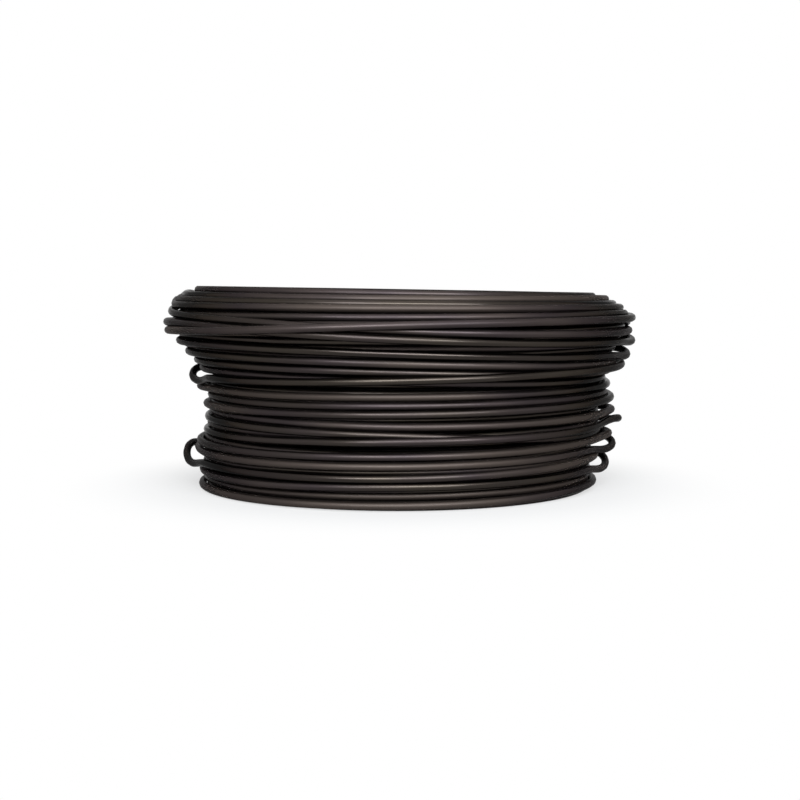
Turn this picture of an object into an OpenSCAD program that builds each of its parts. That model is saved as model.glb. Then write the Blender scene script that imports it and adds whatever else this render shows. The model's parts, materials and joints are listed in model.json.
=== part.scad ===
// Coil of annealed tie wire, lying on its end.
// One length of wire is wound turn beside turn, layer over layer, into a ring with an open bore.
// The turns that lie on the outside, on both ends and in the bore are drawn at the wire's own size.
// The turns buried under them are solid, so the whole coil is one turned piece.

/* [Wire] */
// Diameter of the wire
wire_d = 1.6; // [1.2:0.1:2.5]
// Smallest gap left between two turns that lie side by side
turn_gap = 0.04; // [0.02:0.01:0.2]
// Width of the flat on a turn's back where it bears on a floor, a stacked coil or a hub
bearing_flat = 0.5; // [0.2:0.05:0.8]

/* [Coil] */
// Height of the coil from end to end
coil_h = 42; // [39:0.5:60]
// Diameter of the bore
bore_d = 55; // [40:0.5:68]

/* [Outline] */
// Diameter over the lowest turns, the foot
foot_d = 82.5; // [76:0.5:100]
// Diameter over the lower bulge, the hip
hip_d = 86; // [80:0.5:110]
// Diameter over the slack rows at mid-height, the waist
waist_d = 85; // [78:0.5:110]
// Diameter over the widest row, the crown
crown_d = 99; // [82:0.5:120]
// Diameter over the highest turns, the rim
rim_d = 88; // [76:0.5:110]
// Height of the hip's widest row above the floor
hip_z = 7; // [5:0.5:13]
// Height of the waist's narrowest row above the floor
waist_z = 22; // [15:0.5:24]
// Height of the crown's widest row above the floor
crown_z = 35; // [28:0.5:37]

/* [Hidden] */

// The circles that the section is drawn with
$fn = 96;
// Samples along the outside, fine enough to measure its length by
outside_samples = 240;

wire_r = wire_d / 2;
lay_pitch = wire_d + turn_gap;
// A bearing turn is cut back by this much, which leaves its flat
flat_depth = wire_r - sqrt(wire_r ^ 2 - (bearing_flat / 2) ^ 2);

// Centres of the turns that bear on the floor, on a stacked coil and on a hub
foot_turn_z = wire_r - flat_depth;
rim_turn_z = coil_h - wire_r + flat_depth;
bore_turn_r = bore_d / 2 + wire_r - flat_depth;

// Radii of the outside, measured to the centres of its turns
foot_r = foot_d / 2 - wire_r;
hip_r = hip_d / 2 - wire_r;
waist_r = waist_d / 2 - wire_r;
crown_r = crown_d / 2 - wire_r;
rim_r = rim_d / 2 - wire_r;

// A round shoulder: full at t = 0 and fallen away at t = 1
function shoulder(t) = 1 - t ^ 2;
// A smooth swell from 0 to 1
function swell(t) = (1 - cos(180 * t)) / 2;

// Radius of the outside at a height: foot to hip, hip to waist, waist to crown, crown to rim
function outside_r(z) =
    z <= hip_z ? foot_r + (hip_r - foot_r) * shoulder((hip_z - z) / (hip_z - foot_turn_z))
    : z <= waist_z ? hip_r + (waist_r - hip_r) * swell((z - hip_z) / (waist_z - hip_z))
    : z <= crown_z ? waist_r + (crown_r - waist_r) * swell((z - waist_z) / (crown_z - waist_z))
    : rim_r + (crown_r - rim_r) * shoulder((z - crown_z) / (rim_turn_z - crown_z));

// Turns laid side by side along a straight line from a up to, but without, b
function laid_straight(a, b) =
    let (turns = max(1, floor(norm(b - a) / lay_pitch)))
    [for (i = [0 : turns - 1]) a + (b - a) * i / turns];

// Heights of the samples along the outside, and how far along it each one lies
outside_z = [for (i = [0 : outside_samples]) foot_turn_z + (rim_turn_z - foot_turn_z) * i / outside_samples];
outside_points = [for (z = outside_z) [outside_r(z), z]];
outside_way = [for (i = 0, way = 0; i <= outside_samples;
                    way = way + (i < outside_samples ? norm(outside_points[i + 1] - outside_points[i]) : 0),
                    i = i + 1) way];
outside_heights = [for (i = [0 : outside_samples]) [outside_way[i], outside_z[i]]];

// Turns laid side by side up the outside, from the foot to just before the rim
function laid_outside() =
    let (way = outside_way[outside_samples], turns = max(1, floor(way / lay_pitch)))
    [for (i = [0 : turns - 1]) let (z = lookup(way * i / turns, outside_heights)) [outside_r(z), z]];

// Every turn that shows, once round the section: the lower end, the outside, the upper end, the bore
skin_turns = concat(
    laid_straight([bore_turn_r, foot_turn_z], [foot_r, foot_turn_z]),
    laid_outside(),
    laid_straight([rim_r, rim_turn_z], [bore_turn_r, rim_turn_z]),
    laid_straight([bore_turn_r, rim_turn_z], [bore_turn_r, foot_turn_z])
);

// The room that the coil fills between floor, stacked coil and hub
module bearing_room() {
    translate([bore_d / 2, 0]) square([max(foot_d, hip_d, waist_d, crown_d, rim_d), coil_h]);
}

// Half of the coil's section: the turns that show, on the mass of turns that they bury
module coil_section() {
    intersection() {
        union() {
            polygon(skin_turns);
            for (turn = skin_turns) translate(turn) circle(d = wire_d);
        }
        bearing_room();
    }
}

module wire_coil() {
    color("#2e2926") rotate_extrude() coil_section();
}

wire_coil();
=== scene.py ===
"""Coil of black annealed tie wire, lying on its end."""
import json
import math

import bpy
import numpy as np
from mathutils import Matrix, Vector


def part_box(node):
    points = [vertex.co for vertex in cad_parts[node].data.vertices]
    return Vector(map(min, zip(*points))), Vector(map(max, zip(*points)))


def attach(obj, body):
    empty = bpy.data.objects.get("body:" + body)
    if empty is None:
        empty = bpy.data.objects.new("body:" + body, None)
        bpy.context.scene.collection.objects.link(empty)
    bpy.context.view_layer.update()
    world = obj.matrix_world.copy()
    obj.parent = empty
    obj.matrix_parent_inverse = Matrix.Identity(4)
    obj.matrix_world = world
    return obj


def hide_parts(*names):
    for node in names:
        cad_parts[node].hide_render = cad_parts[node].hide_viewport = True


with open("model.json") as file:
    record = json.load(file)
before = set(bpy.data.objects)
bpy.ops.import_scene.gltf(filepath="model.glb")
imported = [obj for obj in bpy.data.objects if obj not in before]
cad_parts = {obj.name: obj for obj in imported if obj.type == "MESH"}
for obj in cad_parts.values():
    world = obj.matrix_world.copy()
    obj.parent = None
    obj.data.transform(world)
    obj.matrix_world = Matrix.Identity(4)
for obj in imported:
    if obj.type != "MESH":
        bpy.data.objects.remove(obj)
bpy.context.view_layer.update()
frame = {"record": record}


# The wire. One length of soft steel wire, 1.6 mm thick, black from annealing and a little oily.
# It is wound on a mandrel, turn beside turn. The last turns were wound slack, so they lie loose
# and cross each other. Only the turns that show are made, as one wire with two cut ends.

# Sizes of the coil are in mm until a mesh is made
MM = 0.001
wire_d = 1.6
# Places on each turn at which the wire's path is worked out
stations = 96

coil_low, coil_high = (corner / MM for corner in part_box("wire_coil"))
bore_r = next(m["dims"]["r_mm"] for m in frame["record"]["mounts"] if m["kind"] == "bore")
crown_r = (coil_high.x - coil_low.x) / 2
foot_r, hip_r, waist_r, rim_r = 42.2, 43.7, 43.3, 45.0
hip_z, waist_z, crown_z = 7.0, 22.0, 35.0
low_z = coil_low.z + wire_d / 2
high_z = coil_high.z - wire_d / 2


def swell(t):
    """Rises smoothly from 0 to 1 as t does, and stays there."""
    return (1 - np.cos(np.pi * np.clip(t, 0, 1))) / 2


def outside(height):
    """Radius to the centre of an outermost turn: foot, hip, waist, crown and rim."""
    radius = hip_r - (hip_r - foot_r) * np.clip((hip_z - height) / (hip_z - low_z), 0, 1) ** 2
    radius += (waist_r - hip_r) * swell((height - hip_z) / (waist_z - hip_z))
    radius += (crown_r - waist_r) * swell((height - waist_z) / (crown_z - waist_z))
    radius -= (crown_r - rim_r) * np.clip((height - crown_z) / (high_z - crown_z), 0, 1) ** 2
    return radius - wire_d / 2


def smooth(values, spread, closed=False):
    """Averages each value with its neighbours, out to about `spread` of them."""
    for _ in range(round(2 * spread**2)):
        before, after = np.roll(values, 1, axis=0), np.roll(values, -1, axis=0)
        if not closed:
            before[0], after[-1] = values[0], values[-1]
        values = (before + 2 * values + after) / 4
    return values


unevenness = np.random.default_rng(7)


def wander(count, spread):
    """Smooth unevenness of about 1 along `count` stations, in waves of about `spread` of them."""
    knots = unevenness.normal(size=int(count / spread) + 3)
    drift = np.interp(np.arange(count) / spread, np.arange(len(knots)), knots)
    drift = smooth(drift, spread / 3)
    return drift / drift.std()


# The even turns go once round the coil's section: in along the upper end, down the bore,
# out along the lower end and up the outside, where the loose turns will lie over them.
bore_turn_r = bore_r + wire_d / 2
corner_rounding = 0.4
outside_samples = 300
rise = np.linspace(low_z, high_z, outside_samples)
# The loose turns need this much room from just above the floor to the crown, where it thins out
loose_layer = 1.2
layer_from, layer_grows_over = 1.2, 1.6
layer_thins_from, layer_thins_over = 32.0, 4.0
covered = loose_layer * swell((rise - layer_from) / layer_grows_over)
covered *= 1 - swell((rise - layer_thins_from) / layer_thins_over)
# Rows at these heights lie deeper than the ones beside them, and show as dark bands
sunk_rows = (3.0, 12.1, 17.2, 23.2, 36.9, 40.2)
row_depth = 0.9
covered += sum(row_depth * np.exp(-((rise - sunk_z) ** 2)) for sunk_z in sunk_rows)
corners = np.vstack([
    [[rim_r - wire_d / 2, high_z], [bore_turn_r, high_z], [bore_turn_r, low_z]],
    np.column_stack([outside(rise) - covered, rise]),
])


def way_along(points):
    """How far along a line each of its points lies."""
    return np.concatenate([[0], np.cumsum(np.linalg.norm(np.diff(points, axis=0), axis=1))])


def resample(points, step):
    """The same line with a point every `step`."""
    way = way_along(points)
    return np.column_stack([np.interp(np.arange(0, way[-1], step), way, axis) for axis in points.T])


section_step = 0.1
section = smooth(resample(corners, section_step), corner_rounding / section_step, closed=True)
section_way = way_along(section)
section_length = section_way[-1]

# The gaps between the turns are uneven, in waves of about so many stations
turn_gap, gap_spread, gap_wave = 0.1, 0.6, 30
even_turns = int((section_length - wire_d) / (wire_d + turn_gap))
even_count = even_turns * stations
spacing = wire_d + turn_gap * np.exp(gap_spread * wander(even_count, gap_wave))
place = np.empty(even_count)
place[:stations] = spacing[:stations] * np.arange(stations) / stations
for n in range(stations, even_count):
    place[n] = place[n - stations] + spacing[n]
place = wire_d + place * (section_length - wire_d) / place[-1]

tangent = np.gradient(section, axis=0)
inward = np.column_stack([-tangent[:, 1], tangent[:, 0]]) / np.linalg.norm(tangent, axis=1)[:, None]
sink_depth, sink_wave = 0.12, 25
sunk = sink_depth * np.abs(wander(even_count, sink_wave))
radius, height = (
    np.interp(place, section_way, section[:, i]) + sunk * np.interp(place, section_way, inward[:, i])
    for i in (0, 1)
)

# The lowest turn of the outside lies on the floor nearly all the way round before it climbs
off_floor = (height - low_z) / wire_d
height = np.where(off_floor < 1, low_z + wire_d * off_floor**2, height)

# Heights of the loose turns at the left, the front and the right, in the order they are wound:
# down from the crown to the foot, then up again over the ones before
loose_turns = (
    (36.4, 33.8, 33.0),
    (34.9, 32.4, 31.0),
    (31.0, 29.8, 28.2),
    (28.8, 28.0, 26.6),
    (27.0, 26.3, 25.0),
    (25.3, 24.5, 23.4),
    (19.5, 20.0, 20.2),
    (16.5, 16.0, 16.2),
    (15.1, 14.6, 12.3),
    (6.2, 6.4, 7.1),
    (4.0, 5.0, 4.8),
    (8.3, 8.7, 8.9),
    (10.1, 10.5, 10.9),
    (12.3, 13.6, 13.7),
    (17.9, 18.4, 19.0),
    (21.2, 21.6, 21.8),
    (23.7, 24.9, 25.8),
    (33.4, 35.3, 35.8),
)
# Where these places are, in degrees. Each turn starts at the back, and the first one climbs from there.
left, front, right, back = (190, 220), 270, (320, 350), 90
climb = 50
loose_end_z = 38.0
loose_count = len(loose_turns) * stations
loose_angle = back + 360 * np.arange(loose_count) / stations
seen_at, seen_z = [back, back + climb], [height[-1], height[-1]]
for turn, (left_z, front_z, right_z) in enumerate(loose_turns):
    seen_at += [360 * turn + at for at in (*left, front, *right)]
    seen_z += [left_z, left_z, front_z, right_z, right_z]
seen_at.append(back + 360 * len(loose_turns))
seen_z.append(loose_end_z)
guide_smoothing = 4
guide = np.clip(smooth(np.interp(loose_angle, seen_at, seen_z), guide_smoothing), low_z, high_z)
slack_size, slack_wave = 0.15, 20
slack = slack_size * np.abs(wander(loose_count, slack_wave))


def rests_at(height, under_radius, under_height):
    """Radius at which a turn at this height touches the turns that lie under it."""
    room = wire_d**2 - (height - under_height) ** 2
    return np.where(room > 0, under_radius + np.sqrt(np.maximum(room, 0)), 0).max(axis=0)


# Each loose turn presses into the even turns, most at the sides, and lies across the loose ones under it,
# drawn tight from one to the next
pressed_depth = 1.2
pressed = pressed_depth * np.cos(2 * math.pi * np.arange(stations) / stations + math.radians(back)) ** 2
straight = 2 * math.cos(2 * math.pi / stations)
tightening_steps = 20
for turn in range(len(loose_turns)):
    part = slice(turn * stations, (turn + 1) * stations)
    firm = radius.reshape(-1, stations).copy()
    firm[:even_turns] -= pressed
    resting = rests_at(guide[part], firm, height.reshape(-1, stations))
    turn_r = resting.copy()
    for _ in range(tightening_steps):
        before = np.append(radius[-1], turn_r[:-1])
        after = np.append(turn_r[1:], turn_r[-1])
        turn_r = np.maximum(resting, straight / (1 / before + 1 / after))
    if turn == 0:
        turn_r = radius[-1] + (turn_r - radius[-1]) * swell((loose_angle[part] - back) / climb)
    radius = np.append(radius, turn_r + slack[part])
    height = np.append(height, guide[part])

# Turns that press into each other are moved apart: an even turn gives way to a loose one
turns = even_turns + len(loose_turns)
loose = np.arange(turns) >= even_turns
parting_pace, parting_steps = 0.35, 40
yields = parting_pace * (1 + loose[None, :] - loose[:, None].astype(float))
for _ in range(parting_steps):
    across = radius.reshape(turns, 1, stations) - radius.reshape(1, turns, stations)
    along = height.reshape(turns, 1, stations) - height.reshape(1, turns, stations)
    apart = np.hypot(across, along) + wire_d * np.eye(turns)[:, :, None]
    push = yields[:, :, None] * np.maximum(wire_d - apart, 0) / apart
    radius = np.maximum(radius + (push * across).sum(axis=1).ravel(), bore_turn_r)
    height = np.clip(height + (push * along).sum(axis=1).ravel(), low_z, high_z)

# The wire is too stiff to bend sharply where a loose turn runs up onto another
stiffness = 1.5
radius[even_count:] = smooth(radius[even_count:], stiffness)

# Slack turns bow out at the sides of the coil: which loose turn, at what angle, how far it stands off,
# and how far it climbs as it goes round the bow
bows = (
    (16, 180, 4.0, -2.4),
    (16, 166, 1.6, 0.0),
    (15, 180, 1.8, 0.0),
    (9, 180, 2.5, -2.6),
    (9, 166, 2.0, 0.0),
    (1, 360, 2.2, 0.8),
    (2, 360, 2.3, 1.2),
    (7, 360, 1.5, 0.0),
    (13, 360, 3.6, -1.2),
    (12, 360, 1.9, 0.0),
    (11, 360, 4.4, 1.8),
    (10, 360, 3.2, 2.0),
)
# Degrees to either side over which a bow stands off and climbs
bow_reach = 11
bow_turn = 8
# The path has more places near the bows: out to so many stations, in so many parts of a station
fine_reach, fine_parts = 6, 4
fine = np.arange(-fine_reach * fine_parts, fine_reach * fine_parts + 1) / fine_parts
near_bows = [even_count + (360 * turn + at - back) * stations / 360 + fine for turn, at, _, _ in bows]
station = np.union1d(np.arange(1, len(radius) - 2), np.concatenate(near_bows))


def between(values, at):
    """Values at places between the stations, on a smooth curve through the stations' own."""
    n = np.floor(at).astype(int)
    t = at - n
    a, b, c, d = (values[n + i] for i in (-1, 0, 1, 2))
    return b + t * (c - a + t * (2 * a - 5 * b + 4 * c - d + t * (3 * (b - c) + d - a))) / 2


radius, height = between(radius, station), between(height, station)
angle = math.radians(back) + 2 * math.pi * station / stations
for turn, at, stand_off, climbs in bows:
    past = back + (station - even_count) * 360 / stations - (360 * turn + at)
    radius += stand_off * np.exp(-((past / bow_reach) ** 2))
    height += climbs / 2 * past / bow_turn * np.exp((1 - (past / bow_turn) ** 2) / 2)

# The outer rows have drifted sideways as they were wound, and the upper end leans down to the right
drift_z = (0, 9.5, 16.5, 25, 30, 38, 42)
drift_x = (-1.4, -1.3, 1.4, 1.3, -0.15, -0.7, -1.6)
lean = 0.017
lean_from = 34.0
lean_lift = 0.4


def settled(radius, angle, height):
    """Where a place on the true round coil lies once its rows have drifted and leant, in metres."""
    outer = np.clip((radius - bore_turn_r) / (rim_r - bore_turn_r), 0, 1)
    x = radius * np.cos(angle) + outer * np.interp(height, drift_z, drift_x)
    y = radius * np.sin(angle)
    leaning = lean_lift - lean * (x + crown_r)
    z = height + leaning * swell((height - lean_from) / (high_z - lean_from))
    return np.stack(np.broadcast_arrays(x, y, z), axis=-1) * MM


wire_path = settled(radius, angle, height)


def add_node(tree, kind, settings=None, inputs=None):
    """Adds a node, applies its settings, and sets or links its inputs by socket name or number."""
    node = tree.nodes.new(kind)
    for name, value in (settings or {}).items():
        setattr(node, name, value)
    sockets = [socket for socket in node.inputs if socket.enabled]
    for key, value in (inputs or {}).items():
        socket = sockets[key] if isinstance(key, int) else next(s for s in sockets if s.name == key)
        if isinstance(value, bpy.types.NodeSocket):
            tree.links.new(value, socket)
        else:
            socket.default_value = value
    return node


def colour(hex_code):
    """An sRGB hex value as linear red, green, blue and alpha."""
    parts = [int(hex_code[i:i + 2], 16) / 255 for i in (1, 3, 5)]
    return [p / 12.92 if p <= 0.04045 else ((p + 0.055) / 1.055) ** 2.4 for p in parts] + [1]


# Black annealed steel: a thin, uneven brown-black oxide under a film of oil, which is the weak coat.
# It was drawn through a die, so fine lines run lengthwise, some of them rubbed smoother,
# and its colour changes from length to length.
annealed = bpy.data.materials.new("black_annealed_steel")
annealed.use_nodes = True
tree = annealed.node_tree
tree.nodes.clear()
around = add_node(tree, "ShaderNodeAttribute", {"attribute_name": "around"}).outputs["Vector"]
along = add_node(tree, "ShaderNodeAttribute", {"attribute_name": "along"}).outputs["Fac"]
stretch_length = 150 * MM
stretches = add_node(
    tree, "ShaderNodeTexNoise", {"noise_dimensions": "1D"},
    {"W": along, "Scale": 1 / stretch_length, "Detail": 4.0},
).outputs["Fac"]
oxide = add_node(tree, "ShaderNodeValToRGB", inputs={"Fac": stretches})
stops = oxide.color_ramp.elements
stops[0].position, stops[1].position = 0.35, 0.65
stops[0].color, stops[1].color = colour("#2a2524"), colour("#413a36")
stops.new(0.45).color = colour("#342f2a")
stops.new(0.55).color = colour("#322c2d")
# Die lines are about 0.05 mm apart: here 0.25 mm, so that they show
line_width = 0.25 * MM
line_length = 12 * MM
line_depth = 0.02 * MM
lengthwise = add_node(
    tree, "ShaderNodeVectorMath", {"operation": "SCALE"},
    {"Vector": around, "Scale": wire_d * MM / 2 / line_width},
).outputs["Vector"]
run = add_node(tree, "ShaderNodeMath", {"operation": "DIVIDE"}, {0: along, 1: line_length}).outputs["Value"]
drawn = add_node(tree, "ShaderNodeCombineXYZ", inputs={"Z": run}).outputs["Vector"]
die_place = add_node(tree, "ShaderNodeVectorMath", {"operation": "ADD"}, {0: lengthwise, 1: drawn})
die_lines = add_node(
    tree, "ShaderNodeTexNoise", inputs={"Vector": die_place.outputs["Vector"], "Scale": 1.0, "Detail": 2.0}
).outputs["Fac"]
line_share = 0.35
dull = add_node(
    tree, "ShaderNodeMix", {"data_type": "FLOAT"}, {"Factor": line_share, "A": stretches, "B": die_lines}
).outputs["Result"]
rubbed, matt = 0.22, 0.6
roughness = add_node(
    tree, "ShaderNodeMapRange",
    inputs={"Value": dull, "From Min": 0.4, "From Max": 0.6, "To Min": rubbed, "To Max": matt},
).outputs["Result"]
relief = add_node(
    tree, "ShaderNodeBump", inputs={"Height": die_lines, "Strength": 0.25, "Distance": line_depth}
).outputs["Normal"]
steel = add_node(
    tree, "ShaderNodeBsdfPrincipled",
    inputs={
        "Base Color": oxide.outputs["Color"],
        "Metallic": 1.0,
        "Roughness": roughness,
        "Specular Tint": colour("#898989"),
        "Coat Weight": 0.08,
        "Coat Roughness": 0.2,
        "Normal": relief,
    },
)
add_node(tree, "ShaderNodeOutputMaterial", inputs={"Surface": steel.outputs["BSDF"]})

# A round profile is swept along the path, with flat cut ends that keep their sharp edge
wire_sides = 10
sharp_edge = math.radians(60)
sweep = bpy.data.node_groups.new("sweep_wire", "GeometryNodeTree")
sweep.is_modifier = True
face = sweep.interface
face.new_socket("Geometry", in_out="INPUT", socket_type="NodeSocketGeometry")
diameter_in = face.new_socket("Wire Diameter", in_out="INPUT", socket_type="NodeSocketFloat")
sides_in = face.new_socket("Sides", in_out="INPUT", socket_type="NodeSocketInt")
material_in = face.new_socket("Material", in_out="INPUT", socket_type="NodeSocketMaterial")
face.new_socket("Geometry", in_out="OUTPUT", socket_type="NodeSocketGeometry")
given = add_node(sweep, "NodeGroupInput").outputs
path = add_node(sweep, "GeometryNodeMeshToCurve", inputs={"Mesh": given["Geometry"]})
level = add_node(
    sweep, "GeometryNodeSetCurveNormal", {"mode": "Z_UP"}, {"Curve": path.outputs["Curve"]}
)
length = add_node(sweep, "GeometryNodeSplineParameter").outputs["Length"]
measured = add_node(
    sweep, "GeometryNodeStoreNamedAttribute", {"data_type": "FLOAT", "domain": "POINT"},
    {"Geometry": level.outputs["Curve"], "Name": "along", "Value": length},
)
half = add_node(sweep, "ShaderNodeMath", {"operation": "MULTIPLY"}, {0: given["Wire Diameter"], 1: 0.5})
ring = add_node(
    sweep, "GeometryNodeCurvePrimitiveCircle",
    inputs={"Resolution": given["Sides"], "Radius": half.outputs["Value"]},
)
spoke = add_node(
    sweep, "ShaderNodeVectorMath", {"operation": "NORMALIZE"},
    {0: add_node(sweep, "GeometryNodeInputPosition").outputs["Position"]},
)
profile = add_node(
    sweep, "GeometryNodeStoreNamedAttribute", {"data_type": "FLOAT_VECTOR", "domain": "POINT"},
    {"Geometry": ring.outputs["Curve"], "Name": "around", "Value": spoke.outputs["Vector"]},
)
tube = add_node(
    sweep, "GeometryNodeCurveToMesh",
    inputs={
        "Curve": measured.outputs["Geometry"],
        "Profile Curve": profile.outputs["Geometry"],
        "Fill Caps": True,
    },
)
rounded = add_node(sweep, "GeometryNodeSetShadeSmooth", inputs={"Geometry": tube.outputs["Mesh"]})
whole = add_node(sweep, "GeometryNodeRealizeInstances", inputs={"Geometry": rounded.outputs["Geometry"]})
dressed = add_node(
    sweep, "GeometryNodeSetMaterial",
    inputs={"Geometry": whole.outputs["Geometry"], "Material": given["Material"]},
)
add_node(sweep, "NodeGroupOutput", inputs={"Geometry": dressed.outputs["Geometry"]})

line = bpy.data.meshes.new("wire_path")
line.from_pydata(wire_path.tolist(), [(n, n + 1) for n in range(len(wire_path) - 1)], [])
route = bpy.data.objects.new("wire_path", line)
bpy.context.scene.collection.objects.link(route)
swept = route.modifiers.new("sweep", "NODES")
swept.node_group = sweep
swept[diameter_in.identifier] = wire_d * MM
swept[sides_in.identifier] = wire_sides
swept[material_in.identifier] = annealed
wire_mesh = bpy.data.meshes.new_from_object(route.evaluated_get(bpy.context.evaluated_depsgraph_get()))
wire_mesh.name = "wire"
wire_mesh.set_sharp_from_angle(angle=sharp_edge)
bpy.data.objects.remove(route)
wire = bpy.data.objects.new("wire", wire_mesh)
bpy.context.scene.collection.objects.link(wire)
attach(wire, "root")
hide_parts("wire_coil")


# The buried turns. Under the turns that show, the coil is full of more of the same wire.
# They are one plain ring of the same black steel, a little way under the outer turns.
buried_depth = 1.1
ring_steps = 96
section_spacing = 1.0
ring_section = resample(section + buried_depth * inward, section_spacing)
spin = 2 * math.pi * np.arange(ring_steps) / ring_steps
buried_points = settled(ring_section[:, 0], spin[:, None], ring_section[:, 1])
number = np.arange(ring_steps * len(ring_section)).reshape(ring_steps, -1)
quads = np.stack([
    number, np.roll(number, 1, axis=1), np.roll(number, (-1, 1), axis=(0, 1)), np.roll(number, -1, axis=0)
], axis=-1)
buried_mesh = bpy.data.meshes.new("buried_turns")
buried_mesh.from_pydata(buried_points.reshape(-1, 3), [], quads.reshape(-1, 4).tolist())
buried_mesh.materials.append(annealed)
buried = bpy.data.objects.new("buried_turns", buried_mesh)
bpy.context.scene.collection.objects.link(buried)
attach(buried, "root")


# Floor and background. A wide sheet of white paper lies flat under the coil.
# It keeps the coil's soft shadow near the foot, and farther off it is as white as the sky behind it.
floor_half = 3.0
floor_mesh = bpy.data.meshes.new("floor")
floor_mesh.from_pydata(
    [(x * floor_half, y * floor_half, 0) for x, y in ((-1, -1), (1, -1), (1, 1), (-1, 1))], [], [(0, 1, 2, 3)]
)
floor = bpy.data.objects.new("floor", floor_mesh)
bpy.context.scene.collection.objects.link(floor)


def seen_directly(tree):
    """1 for what is seen, also mirrored in metal or through glass, and 0 for light on surfaces."""
    ray = add_node(tree, "ShaderNodeLightPath").outputs
    seen = ray["Is Camera Ray"]
    for name in ("Is Glossy Ray", "Is Transmission Ray"):
        either = add_node(tree, "ShaderNodeMath", {"operation": "MAXIMUM"}, {0: seen, 1: ray[name]})
        seen = either.outputs["Value"]
    return seen


paper = bpy.data.materials.new("white_paper")
paper.use_nodes = True
tree = paper.node_tree
tree.nodes.clear()
lit = add_node(tree, "ShaderNodeBsdfDiffuse", inputs={"Color": colour("#d2d2d2")})
white = add_node(tree, "ShaderNodeEmission", inputs={"Color": colour("#ffffff"), "Strength": 1.0})
from_coil = add_node(
    tree, "ShaderNodeVectorMath", {"operation": "LENGTH"},
    {0: add_node(tree, "ShaderNodeTexCoord").outputs["Object"]},
).outputs["Value"]
shadow_r, white_r = 0.043, 0.075
white_near_coil = 0.6
fade = add_node(
    tree, "ShaderNodeMapRange", {"interpolation_type": "SMOOTHSTEP"},
    {"Value": from_coil, "From Min": shadow_r, "From Max": white_r, "To Min": white_near_coil, "To Max": 1.0},
).outputs["Result"]
share = add_node(tree, "ShaderNodeMath", {"operation": "MULTIPLY"}, {0: seen_directly(tree), 1: fade})
mixed = add_node(
    tree, "ShaderNodeMixShader",
    inputs={0: share.outputs["Value"], 1: lit.outputs["BSDF"], 2: white.outputs["Emission"]},
)
add_node(tree, "ShaderNodeOutputMaterial", inputs={"Surface": mixed.outputs["Shader"]})
floor_mesh.materials.append(paper)

world = bpy.data.worlds.new("studio")
bpy.context.scene.world = world
world.use_nodes = True
tree = world.node_tree
tree.nodes.clear()
ambient = 0.25
strength = add_node(
    tree, "ShaderNodeMapRange", inputs={"Value": seen_directly(tree), "To Min": ambient, "To Max": 1.0}
).outputs["Result"]
sky = add_node(tree, "ShaderNodeBackground", inputs={"Color": colour("#ffffff"), "Strength": strength})
add_node(tree, "ShaderNodeOutputWorld", inputs={"Surface": sky.outputs["Background"]})


# Light. A tall, wide soft panel faces the coil from above the camera, with a brighter strip across it,
# which draws a bright line along the front of each turn. A weak square panel hangs straight above.
coil_centre = Vector((0, 0, (coil_low.z + coil_high.z) / 2 * MM))
for name, lamp_place, width, depth, radiance, tint in (
    ("front_panel", Vector((0.04, -0.8, 0.4)), 1.1, 0.8, 3.0, (1, 1, 1)),
    ("front_strip", Vector((0.06, -0.78, 0.36)), 1.2, 0.18, 16.6, (0.95, 1, 1.05)),
    ("top_panel", Vector((0, 0, 0.9)), 0.8, 0.8, 1.5, (1, 1, 1)),
):
    panel = bpy.data.lights.new(name, "AREA")
    panel.shape = "RECTANGLE"
    panel.size, panel.size_y = width, depth
    panel.energy = radiance * math.pi * width * depth
    panel.color = tint
    lamp = bpy.data.objects.new(name, panel)
    lamp.location = lamp_place
    lamp.rotation_euler = (coil_centre - lamp_place).to_track_quat("-Z", "Y").to_euler()
    bpy.context.scene.collection.objects.link(lamp)


# Camera. Level with the coil's upper end and looking slightly down.
camera_x, camera_distance, camera_z = -0.0005, 0.314, 0.042
aim_z = 0.01786
camera_place = Vector((camera_x, -camera_distance, camera_z))
camera_aim = Vector((camera_x, 0, aim_z))
lens = bpy.data.cameras.new("camera")
lens.sensor_width = 36
lens.lens = 66.15
camera = bpy.data.objects.new("camera", lens)
camera.location = camera_place
camera.rotation_euler = (camera_aim - camera_place).to_track_quat("-Z", "Y").to_euler()
bpy.context.scene.collection.objects.link(camera)
bpy.context.scene.camera = camera
bpy.context.scene.view_settings.view_transform = "Standard"
